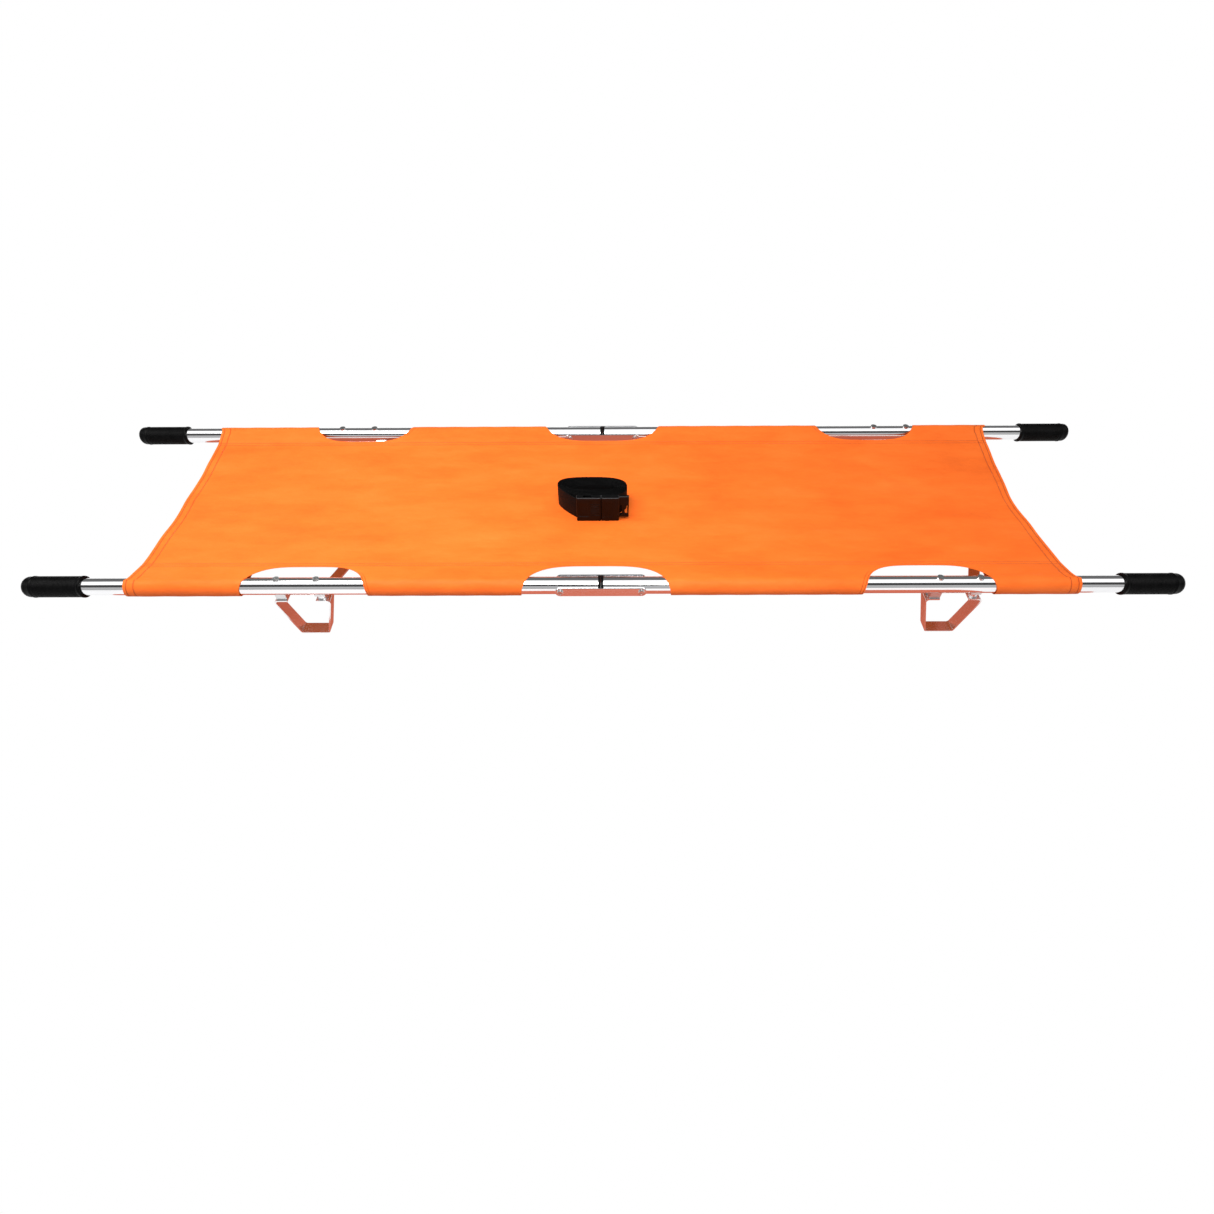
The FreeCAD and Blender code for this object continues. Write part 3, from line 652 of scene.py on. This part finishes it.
SPANS = {
    "left": (-BED_END, -PIVOT_X, "front_left_pole"),
    "middle": (-PIVOT_X, PIVOT_X, "front_link"),
    "right": (PIVOT_X, BED_END, "front_right_pole"),
}
TOUCH = 1e-6


def gather(obj):
    """Give a piece its own copy of its mesh."""
    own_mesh(obj)


beds = {}
for part, (low, high, body) in SPANS.items():
    inside = (columns > low - TOUCH) & (columns < high + TOUCH)
    shells = Shells()
    shells.add(top_face[:, inside], top_normals[:, inside], top_thick[:, inside], top_cloth[:, inside])
    for side in SIDES:
        face, normal, cloth = flaps[side]
        shells.add(face[:, inside], normal[:, inside], CLOTH, cloth[:, inside])
    beds[part] = paint(shells.build(f"canvas_{part}"), CANVAS)


# ------------------------------------------------------------ tunnels round the poles
TUNNEL_ROWS = 44
TUNNEL_STEP = 0.010
TUNNEL_RIPPLE, TUNNEL_RIPPLES = 0.00022, 95  # height, and radians per metre along the pole
NOSE_SMOOTH = 0.01          # over which the ripple dies out towards the bed


def tunnel_limits(side, half, word):
    """For an array of u, where a tunnel starts and stops along the pole, outward positive."""
    s = HALVES[half]
    foot = BITES[side][0 if half == "left" else 2]
    hinge = BITES[side][1]

    def limits(u, inward):
        if word == "inner":
            near = s * hinge[0] + bite_half_width(hinge[1], u)
            far = s * foot[0] - bite_half_width(foot[1], u)
        else:
            near = s * foot[0] + bite_half_width(foot[1], u)
            far = s * (s * BED_END + end_shift(s * BED_END, SIDES[side] * (POLE_Y - inward)))
        return near, far

    return limits


def make_tunnel(side, half, word):
    s = HALVES[half]
    limits = tunnel_limits(side, half, word)
    us = np.concatenate([
        np.linspace(-U_NOSE[False], 0, TUNNEL_ROWS // 2, endpoint=False),
        np.linspace(0, U_NOSE[True], TUNNEL_ROWS // 2 + 1),
    ])
    count = max(4, round(abs(np.subtract(*limits(0.0, 0.0))) / TUNNEL_STEP))
    shares = np.linspace(0, 1, count)
    rows, cloth = [], []
    for u in us:
        inward, up = tunnel_point(u)
        near, far = limits(u, float(inward))
        x = s * (near + shares * (far - near))
        ripple = TUNNEL_RIPPLE * np.sin(TUNNEL_RIPPLES * x + 3 * u / SLEEVE_R)
        ripple = ripple * smoothstep(np.abs(u - U_NOSE[True]), 0, NOSE_SMOOTH)
        rows.append(to_world(side, x[::s], np.full(count, float(inward)), float(up) + ripple[::s]))
        from_end = far - near if word == "end" else BED_END
        cloth.append(np.stack([((1 - shares) * from_end)[::s], np.full(count, float(inward))], axis=-1))
    face = np.array(rows)
    normal = grid_normals(face) * (1 if side == "front" else -1)
    shells = Shells()
    shells.add(face, normal, CLOTH, np.array(cloth))
    obj = paint(shells.build(f"tunnel_{side}_{half}_{word}"), CANVAS)
    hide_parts(f"{side}_{half}_{word}_sleeve")
    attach(obj, f"{side}_{half}_pole")


for side in SIDES:
    for half in HALVES:
        for word in ("inner", "end"):
            make_tunnel(side, half, word)

# ------------------------------------------------------------ stitching
STITCH, STITCH_PITCH = 0.0032, 0.0046
STITCH_WIDE, STITCH_HIGH = 0.0007, 0.0005
SEAM_SAMPLES, HEM_SAMPLES = 400, 160


def surface_z(x, y):
    """Height of the bed's upper face, on its slope at the tunnel or inward of the seam."""
    inward = POLE_Y - np.abs(y)
    slope_start = SLEEVE_R * math.cos(LEAVES_TOP)
    share = np.clip((inward - slope_start) / (SEAM_IN - slope_start), 0, 1)
    on_slope = tunnel_point(share * SLOPE + ARC_TOP)[1]
    up = np.where(inward > SEAM_IN, bed_height(inward), on_slope)
    return POLE_Z + up + unevenness(x, y)


def stitch_run(xs, ys, verts, faces):
    """Thread laid in short stitches along a line on the bed's upper face."""
    zs = surface_z(xs, ys)
    points = np.stack([xs, ys, zs], axis=1)
    travel = np.concatenate([[0], np.cumsum(np.linalg.norm(np.diff(points, axis=0), axis=1))])
    for start in np.arange(0, travel[-1] - STITCH, STITCH_PITCH):
        ends = [np.array([np.interp(s, travel, points[:, k]) for k in range(3)])
                for s in (start, start + STITCH / 2, start + STITCH)]
        along = ends[2] - ends[0]
        along /= np.linalg.norm(along)
        across = np.cross((0, 0, 1), along)
        base = len(verts)
        for point, lift, wide in zip(ends, (0.0, 1.0, 0.0), (0.55, 1.0, 0.55)):
            for a, h in ((-1, -0.3), (-0.6, 0.75), (0.6, 0.75), (1, -0.3)):
                verts.append(point + across * a * STITCH_WIDE / 2 * wide
                             + np.array((0, 0, STITCH_HIGH * (h * (0.4 + 0.6 * lift)))))
        for ring in range(2):
            for k in range(4):
                a, b = base + ring * 4 + k, base + ring * 4 + (k + 1) % 4
                faces.append((a, b, b + 4, a + 4))
        faces.append((base + 3, base + 2, base + 1, base))
        faces.append((base + 8, base + 9, base + 10, base + 11))


for part, (low, high, body) in SPANS.items():
    verts, faces = [], []
    for side, s in SIDES.items():
        for inward in SEAM_LINES:
            xs = np.linspace(low, high, SEAM_SAMPLES)
            ys = np.full_like(xs, s * (POLE_Y - inward))
            stitch_run(xs + end_shift(xs, ys), ys, verts, faces)
    if part in HALVES:
        for line in HEM_LINES:
            ys = np.linspace(-EDGE_Y, EDGE_Y, HEM_SAMPLES)
            edge = HALVES[part] * (BED_END - line)
            xs = edge + end_shift(np.full_like(ys, edge), ys)
            stitch_run(xs, ys, verts, faces)
    stitches = paint(mesh_object(f"stitching_{part}", verts, faces), THREAD)
    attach(stitches, body)
    gather(stitches)
    bed = beds[part]
    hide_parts(f"bed_{part}")
    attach(bed, body)
    gather(bed)
    inside = (columns > low - TOUCH) & (columns < high + TOUCH)


# ------------------------------------------------------------ handles
GRIP_RIB = 0.0024           # from one rib to the next
TIP_ROUND = 0.0115          # radius of the closed end's edge
RIBS_FROM, RIBS_TO = 0.009, 0.022  # in from the mouth, and from the tip
TURN_STEPS = 64
grip_lo, grip_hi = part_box("front_right_grip")
GRIP_R = (grip_hi[2] - grip_lo[2]) / 2
GRIP_LONG = grip_hi[0] - grip_lo[0]


def grip_profile():
    """Distance from the mouth and radius, from inside the mouth out and round to the tip."""
    body_r = GRIP_R - 0.0008
    points = [(0.012, TUBE_R + 0.0001), (0.0012, TUBE_R + 0.0001), (0.0002, TUBE_R + 0.0006)]
    points += [(0.0, GRIP_R - 0.0014), (0.0006, GRIP_R - 0.0003), (0.0020, GRIP_R),
               (0.0042, GRIP_R - 0.0001), (0.0054, GRIP_R - 0.0010), (0.0072, body_r - 0.0006)]
    count = int((GRIP_LONG - RIBS_TO - RIBS_FROM) / GRIP_RIB)
    for i in range(count):
        s = RIBS_FROM + i * GRIP_RIB
        points += [(s, body_r - 0.0007), (s + GRIP_RIB * 0.25, body_r), (s + GRIP_RIB * 0.6, body_r)]
    last = RIBS_FROM + count * GRIP_RIB
    points += [(last, body_r - 0.0007), (last + 0.002, body_r - 0.0004), (last + 0.0035, GRIP_R - 0.0002),
               (last + 0.0055, GRIP_R - 0.0002), (last + 0.007, body_r - 0.0004)]
    for angle in np.radians(np.linspace(8, 82, 9)):
        points.append((GRIP_LONG - TIP_ROUND + TIP_ROUND * math.sin(angle),
                       body_r - 0.0004 - TIP_ROUND + TIP_ROUND * math.cos(angle)))
    points += [(GRIP_LONG - 0.0001, 0.005), (GRIP_LONG - 0.0004, 0.0025)]
    return points


def turned(profile):
    """A surface of revolution along +X, closed at both ends."""
    around = TURN_STEPS
    verts, faces = [], []
    for s, r in profile:
        for k in range(around):
            angle = 2 * math.pi * k / around
            verts.append((s, r * math.cos(angle), r * math.sin(angle)))
    for i in range(len(profile) - 1):
        for k in range(around):
            a, b = i * around + k, i * around + (k + 1) % around
            faces.append((a, a + around, b + around, b))
    tip = len(verts)
    verts.append((profile[-1][0] - 0.0001, 0, 0))
    last = (len(profile) - 1) * around
    faces += [(last + k, tip, last + (k + 1) % around) for k in range(around)]
    back = len(verts)
    verts.append((profile[0][0], 0, 0))
    faces += [((k + 1) % around, back, k) for k in range(around)]
    return verts, faces


for side, sy in SIDES.items():
    for half, sx in HALVES.items():
        verts, faces = turned(grip_profile())
        placed = [(sx * (grip_lo[0] + x), sy * POLE_Y + y * sx, POLE_Z + z) for x, y, z in verts]
        grip = paint(mesh_object(f"handle_{side}_{half}", placed, faces), RUBBER)
        grip.data.set_sharp_from_angle(angle=math.radians(50))
        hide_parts(f"{side}_{half}_grip")
        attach(grip, f"{side}_{half}_pole")


# ------------------------------------------------------------ the rolled strap
WEB_THICK, WEB_PITCH = 0.0018, 0.0036
WEB_TURNS = 7.6
WEB_STEPS = 84
WEB_LOW, WEB_HIGH = strap_lo[2] + 0.0002, strap_hi[2]
ROLL_INSET = 0.0005         # of the outer turn's face from the room the roll has
ROLL_BEND = 0.010           # how far back the roll's left end bends
SEWN_END = 0.45             # angle from the roll's front to where its outer end is sewn in
SEWN_REACH, SEWN_TURN = 0.009, 0.13  # how far forward that end is drawn, over what share of a turn
# how square each quarter of the roll is: (right, back) from round at 2 upwards
ROLL_SQUARE = {(False, False): 1.8, (False, True): 2.1, (True, True): 2.7, (True, False): 2.2}


def roll_point(turns):
    """Centre line of the webbing after a number of turns inward from its outer end."""
    angle = -math.pi / 2 - SEWN_END - 2 * math.pi * turns
    inset = WEB_THICK / 2 + ROLL_INSET + WEB_PITCH * turns
    long_half = (strap_hi[0] - strap_lo[0]) / 2 - inset
    deep_half = (strap_hi[1] - strap_lo[1]) / 2 - inset
    c, s = math.cos(angle), math.sin(angle)
    square = ROLL_SQUARE[c > 0, s > 0]
    x = long_half * math.copysign(abs(c) ** (2 / square), c)
    y = deep_half * math.copysign(abs(s) ** (2 / square), s)
    point = max(0.0, -x / long_half)
    y = y + ROLL_BEND * point ** 2 * (1 - 0.5 * inset / deep_half)
    y = y - SEWN_REACH * max(0.0, 1 - turns / SEWN_TURN) ** 2
    return np.array((STRAP_SPOT[0] + x, STRAP_SPOT[1] + y))


def ribbon(name, path, low, high, thick, loose=0.0):
    """Webbing standing on edge along a level path, with rounded selvedges."""
    path = np.array(path)
    tangent = np.gradient(path, axis=0)
    tangent /= np.linalg.norm(tangent, axis=1, keepdims=True)
    normal = np.stack([tangent[:, 1], -tangent[:, 0]], axis=1)
    edge = thick * 0.35
    section = [(-0.5, edge), (-0.3, 0.0), (0.3, 0.0), (0.5, edge)]
    verts, faces = [], []
    for i, (point, out) in enumerate(zip(path, normal)):
        lift = loose * math.sin(i * 0.11) * math.sin(i * 0.043 + 1)
        ring = [(a, low + h + max(lift, 0)) for a, h in section]
        ring += [(a, high - h + lift) for a, h in reversed(section)]
        for a, z in ring:
            verts.append((*(point + out * a * thick), z))
    size = 8
    for i in range(len(path) - 1):
        for k in range(size):
            a, b = i * size + k, i * size + (k + 1) % size
            faces.append((a, a + size, b + size, b))
    faces.append(tuple(range(size)))
    faces.append(tuple(range(len(verts) - 1, len(verts) - size - 1, -1)))
    obj = mesh_object(name, verts, faces)
    obj.data.set_sharp_from_angle(angle=math.radians(60))
    return paint(obj, WEBBING)


def right_way_out(obj):
    """Turn the faces of a closed mesh outward."""
    work = bmesh.new()
    work.from_mesh(obj.data)
    bmesh.ops.recalc_face_normals(work, faces=work.faces)
    work.to_mesh(obj.data)
    work.free()
    return obj


steps = int(WEB_TURNS * WEB_STEPS)
roll = right_way_out(ribbon("strap_webbing", [roll_point(i / WEB_STEPS) for i in range(steps)],
                            WEB_LOW, WEB_HIGH, WEB_THICK, loose=0.0012))
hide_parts("strap_roll")
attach(roll, "front_link")
gather(roll)


def soft_box(name, low, high, radius):
    """A box with rounded edges."""
    work = bmesh.new()
    bmesh.ops.create_cube(work, size=1)
    size = [b - a for a, b in zip(low, high)]
    centre = [(a + b) / 2 for a, b in zip(low, high)]
    bmesh.ops.scale(work, vec=size, verts=work.verts)
    bmesh.ops.translate(work, vec=centre, verts=work.verts)
    bmesh.ops.bevel(work, geom=list(work.edges), offset=radius, segments=3, profile=0.6,
                    affect="EDGES")
    mesh = bpy.data.meshes.new(name)
    work.to_mesh(mesh)
    work.free()
    obj = bpy.data.objects.new(name, mesh)
    bpy.context.scene.collection.objects.link(obj)
    return obj


def carve(obj, tools, operation="DIFFERENCE"):
    """Cut tools out of a piece, or join them to it, and drop them."""
    for tool in tools:
        step = obj.modifiers.new(tool.name, "BOOLEAN")
        step.operation = operation
        step.solver = "EXACT"
        step.object = tool
    settle(obj)
    for tool in tools:
        bpy.data.objects.remove(tool)
    obj.data.polygons.foreach_set("use_smooth", [True] * len(obj.data.polygons))
    obj.data.set_sharp_from_angle(angle=math.radians(35))
    return obj


socket_lo, socket_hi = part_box("buckle_socket")
plug_lo, plug_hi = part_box("buckle_plug")
WALL, PLAY = 0.0026, 0.0003  # of the socket, and round what slides in it
GROOVES = (-0.24, -0.16, -0.08, 0.0, 0.08, 0.16, 0.24)  # shares of its height from the middle
LADDER_LONG, PRONG_TALL = 0.023, 0.010
SLOTS, SLOT_HALF = (0.30, 0.76), 0.0025  # shares of the ladder's length, and half a slot's width
RIBS, RIB_PITCH = 5, 0.0042


def make_socket():
    """The buckle's socket: a flat shell open at its mouth, with windows for the prongs."""
    (x0, y0, z0), (x1, y1, z1) = socket_lo, socket_hi
    body = soft_box("buckle_socket_shell", socket_lo, socket_hi, WALL)
    mouth = soft_box("mouth", (x0 + WALL * 2, y0 + WALL, z0 + WALL),
                     (x1 + 0.01, y1 - WALL, z1 - WALL), 0.0012)
    middle, tall = (z0 + z1) / 2, z1 - z0
    windows = [
        soft_box(f"window_{name}", (x0 + 0.014, y0 + 0.003, low), (x0 + 0.030, y1 - 0.003, high), 0.0014)
        for name, low, high in (("low", z0 - 0.005, z0 + 0.0075), ("high", z1 - 0.0075, z1 + 0.005))
    ]
    grooves = [
        soft_box(f"groove_{i}", (x0 + 0.028, y0 - 0.002, middle + tall * k - 0.0006),
                 (x1 - 0.003, y0 + 0.0007, middle + tall * k + 0.0006), 0.0003)
        for i, k in enumerate(GROOVES)
    ]
    panel = soft_box("panel", (x0 + 0.0045, y0 - 0.002, middle - tall * 0.3),
                     (x0 + 0.0235, y0 + 0.0006, middle + tall * 0.3), 0.0005)
    return carve(body, [mouth] + windows + grooves + [panel])


def make_plug():
    """The buckle's plug: base, two springy side prongs, a guide, and a ladder for the webbing."""
    (x0, y0, z0), (x1, y1, z1) = plug_lo, plug_hi
    mouth = socket_hi[0]
    body_end = x1 - LADDER_LONG
    y_in, y_out = y0 + WALL + PLAY, socket_hi[1] - WALL - PLAY
    low, high = z0 + WALL + PLAY, z1 - WALL - PLAY
    middle = (z0 + z1) / 2
    base = soft_box("buckle_plug_body", (mouth + PLAY, y0, z0),
                    (body_end + 0.003, socket_hi[1], z1), WALL)
    pieces = [
        soft_box("ladder", (body_end - 0.002, y1 - 0.0062, z0 + 0.0060), (x1, y1, z1 - 0.0010), 0.0018),
        soft_box("prong_low", (x0, y_in, low), (mouth + 0.004, y_out, low + PRONG_TALL), 0.0016),
        soft_box("prong_high", (x0, y_in, high - PRONG_TALL), (mouth + 0.004, y_out, high), 0.0016),
        soft_box("guide", (x0 + 0.006, y_in, middle - 0.004), (mouth + 0.004, y_out, middle + 0.004), 0.0014),
    ]
    base = carve(base, pieces, "UNION")
    slots = [
        soft_box(f"slot_{i}", (body_end + LADDER_LONG * share - SLOT_HALF, y0 - 0.01, z0 + 0.0125),
                 (body_end + LADDER_LONG * share + SLOT_HALF, y1 + 0.01, z0 + 0.0370), 0.0014)
        for i, share in enumerate(SLOTS)
    ]
    ribs = [
        soft_box(f"rib_{i}", (mouth + 0.004 + i * RIB_PITCH, y0 - 0.002, z0 + 0.010),
                 (mouth + 0.0056 + i * RIB_PITCH, y0 + 0.0008, z1 - 0.010), 0.0003)
        for i in range(RIBS)
    ]
    return carve(base, slots + ribs)


BUCKLE_PARTS = (
    (make_socket(), "buckle_socket", "front_link"),
    (make_plug(), "buckle_plug", "buckle_plug"),
)
for obj, node, body in BUCKLE_PARTS:
    paint(obj, BUCKLE)
    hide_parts(node)
    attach(obj, body)
    gather(obj)


# ------------------------------------------------------------ floor, light and camera
FLOOR_HALF = 40.0
# degrees up from the front horizon, over the top to the back one, and how bright it is there
STUDIO = (
    (0, 0.42), (33, 0.55), (37, 0.05), (63, 0.05), (70, 1.35), (108, 1.35), (116, 0.17), (180, 0.13),
)
CARD_UP, CARD_X, CARD_Y = 0.002, 1.0, 0.30
CARD_FRONT = (-0.36, 0.78, -0.47)  # from and to along X, and how far forward it reaches there
CAMERA_PLACE = (0.0182, -1.1993, 0.9671 + POLE_Z)
CAMERA_LENS, CAMERA_SENSOR = 21.27, 36.0
CAMERA_DOWN, CAMERA_YAW, CAMERA_ROLL = (math.radians(a) for a in (47.27, 0.42, -0.46))


def make_floor():
    n = Nodes("floor")
    n.colour(n.ramp(n.noise(n.place, 0.6), [(0.3, (0.11, 0.11, 0.11)), (0.7, (0.13, 0.13, 0.13))]))
    n.set(Roughness=0.9, Specular_IOR_Level=0.0, Emission_Color=(1, 1, 1, 1), Emission_Strength=0.93)
    corners = [(-1, -1), (1, -1), (1, 1), (-1, 1)]
    floor = mesh_object("floor", [(x * FLOOR_HALF, y * FLOOR_HALF, 0) for x, y in corners],
                        [(0, 1, 2, 3)])
    # the halves fold down past floor level, so the camera sees through the floor to them
    floor.visible_camera = floor.visible_diffuse = False
    paint(floor, n.material)


def area_light(name, place, aim, size, watts, colour):
    data = bpy.data.lights.new(name, "AREA")
    data.shape, data.size, data.size_y = "RECTANGLE", size[0], size[1]
    data.energy, data.color = watts, colour
    obj = bpy.data.objects.new(name, data)
    bpy.context.scene.collection.objects.link(obj)
    obj.location = place
    obj.rotation_euler = (Vector(aim) - Vector(place)).to_track_quat("-Z", "Y").to_euler()
    obj.visible_camera = False


def make_world():
    """A studio as the poles see it round their length: pale low front, dark upper front,
    white ceiling, dim back. Light is even along X."""
    world = bpy.data.worlds.new("studio")
    bpy.context.scene.world = world
    world.use_nodes = True
    tree = world.node_tree
    tree.nodes.clear()

    def add(kind):
        return tree.nodes.new(kind)

    place, parts, ramp = add("ShaderNodeTexCoord"), add("ShaderNodeSeparateXYZ"), add("ShaderNodeValToRGB")
    elements = ramp.color_ramp.elements
    while len(elements) < len(STUDIO):
        elements.new(0.5)
    for element, (degrees, level) in zip(elements, STUDIO):
        element.position, element.color = degrees / 180, (level, level, level, 1)
    forward, angle, share = add("ShaderNodeMath"), add("ShaderNodeMath"), add("ShaderNodeMath")
    forward.operation, angle.operation, share.operation = "MULTIPLY", "ARCTAN2", "DIVIDE"
    forward.inputs[1].default_value = -1
    share.inputs[1].default_value = math.pi
    seen, mix = add("ShaderNodeLightPath"), add("ShaderNodeMixShader")
    glow, pale, out = add("ShaderNodeBackground"), add("ShaderNodeBackground"), add("ShaderNodeOutputWorld")
    pale.inputs["Color"].default_value = (1, 1, 1, 1)
    tree.links.new(place.outputs["Generated"], parts.inputs[0])
    tree.links.new(parts.outputs["Y"], forward.inputs[0])
    tree.links.new(parts.outputs["Z"], angle.inputs[0])
    tree.links.new(forward.outputs[0], angle.inputs[1])
    tree.links.new(angle.outputs[0], share.inputs[0])
    tree.links.new(share.outputs[0], ramp.inputs["Fac"])
    tree.links.new(ramp.outputs["Color"], glow.inputs["Color"])
    tree.links.new(seen.outputs["Is Camera Ray"], mix.inputs["Fac"])
    tree.links.new(glow.outputs[0], mix.inputs[1])
    tree.links.new(pale.outputs[0], mix.inputs[2])
    tree.links.new(mix.outputs[0], out.inputs["Surface"])


def make_warm_card():
    """A card on the floor that only reflections show: the warm glow of the cloth on bright metal."""
    n = Nodes("warm_card")
    n.colour(n.ramp(n.noise(n.place, 3.0), [(0.3, (0.14, 0.035, 0.02)), (0.7, (0.16, 0.04, 0.025))]))
    n.set(Roughness=1.0, Emission_Color=(0.62, 0.14, 0.075, 1), Emission_Strength=0.8)
    low, high, front = CARD_FRONT
    outline = [(-CARD_X, -CARD_Y), (low, -CARD_Y), (low, front), (high, front), (high, -CARD_Y),
               (CARD_X, -CARD_Y), (CARD_X, CARD_Y), (-CARD_X, CARD_Y)]
    card = mesh_object("warm_card", [(x, y, CARD_UP) for x, y in outline], [tuple(range(len(outline)))])
    card.visible_camera = card.visible_diffuse = card.visible_shadow = False
    paint(card, n.material)


def make_camera():
    data = bpy.data.cameras.new("camera")
    data.sensor_width = CAMERA_SENSOR
    data.lens = CAMERA_LENS
    data.clip_end = 200
    obj = bpy.data.objects.new("camera", data)
    bpy.context.scene.collection.objects.link(obj)
    turn = Matrix.Rotation(CAMERA_YAW, 4, "Z") @ Matrix.Rotation(math.pi / 2 - CAMERA_DOWN, 4, "X")
    turn = turn @ Matrix.Rotation(CAMERA_ROLL, 4, "Z")
    obj.matrix_world = Matrix.Translation(CAMERA_PLACE) @ turn
    bpy.context.scene.camera = obj


make_floor()
make_world()
make_warm_card()
area_light("key", (-0.40, -0.45, 1.35), (-0.30, -0.30, 0.12), (2.3, 0.7), 30, (1.0, 0.985, 0.96))
area_light("warm_bounce", (0.0, -0.62, 0.004), (0.0, -0.60, 0.12), (2.2, 0.40), 0.4, (1.0, 0.20, 0.05))
make_camera()
bpy.context.scene.view_settings.view_transform = "Standard"
bpy.context.scene.view_settings.look = "None"
